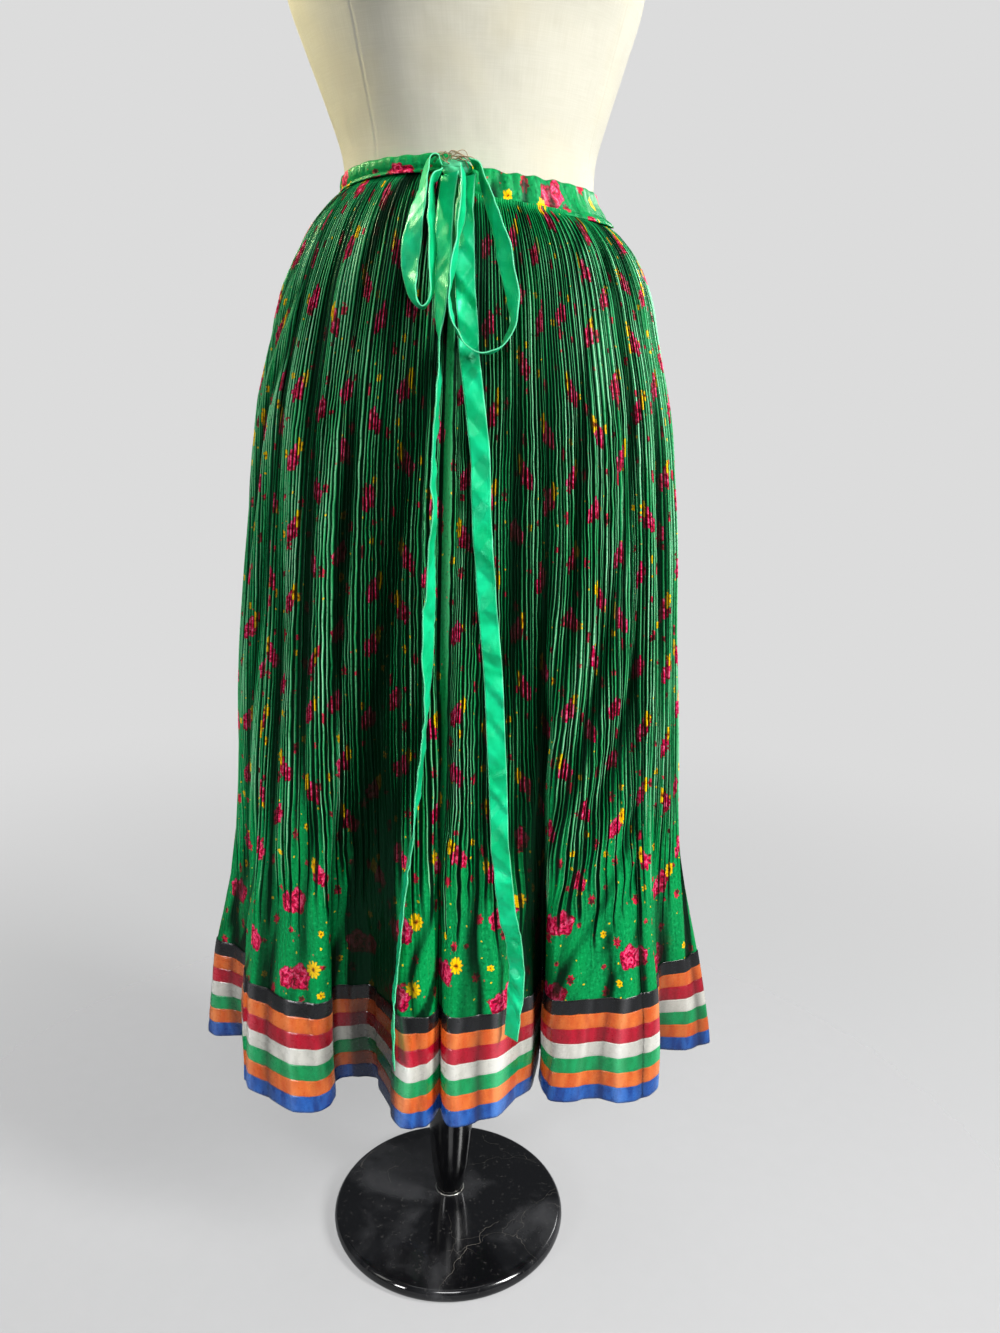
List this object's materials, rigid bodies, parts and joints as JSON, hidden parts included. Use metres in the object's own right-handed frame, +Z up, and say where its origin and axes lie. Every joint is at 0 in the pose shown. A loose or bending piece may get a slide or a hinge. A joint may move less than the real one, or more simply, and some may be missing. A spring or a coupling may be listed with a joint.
{
  "type": "pleated folk skirt on dress form",
  "caption": "Finely pleated printed midi skirt with a drawstring waist and seven ribbons at its hem, worn by a limbless dress form on a round base.",
  "frame": {"origin": "middle of the underside of the round base, on the floor", "axes": "+Z up along the leg, the front of the skirt towards -Y, +X to the right of a viewer in front"},
  "size_m": [0.5446, 0.3038, 1.5123],
  "materials": {
    "printed_cloth": "satin",
    "drawstring_satin": "satin",
    "ribbon_black": "satin",
    "ribbon_orange": "satin",
    "ribbon_red": "satin",
    "ribbon_white": "satin",
    "ribbon_green": "satin",
    "ribbon_blue": "satin",
    "linen": "matte",
    "black_lacquer": "gloss",
    "bright_metal": "satin",
    "black_marble": "polished"
  },
  "bodies": {
    "root": {"base_disc": "black_marble", "foot_ring": "bright_metal", "leg": "black_lacquer", "form_body": "linen", "neck_cap": "black_lacquer", "front_left": "printed_cloth", "front_right": "printed_cloth", "back_right": "printed_cloth", "back_left": "printed_cloth", "waist_casing": "printed_cloth", "hem_ribbon_1_black": "ribbon_black", "hem_ribbon_2_orange": "ribbon_orange", "hem_ribbon_3_red": "ribbon_red", "hem_ribbon_4_white": "ribbon_white", "hem_ribbon_5_green": "ribbon_green", "hem_ribbon_6_orange": "ribbon_orange", "hem_ribbon_7_blue": "ribbon_blue", "drawstring_knot": "drawstring_satin", "drawstring_loop_left": "drawstring_satin", "drawstring_loop_right": "drawstring_satin", "drawstring_tail_left": "drawstring_satin", "drawstring_tail_right": "drawstring_satin"}
  },
  "joints": []
}
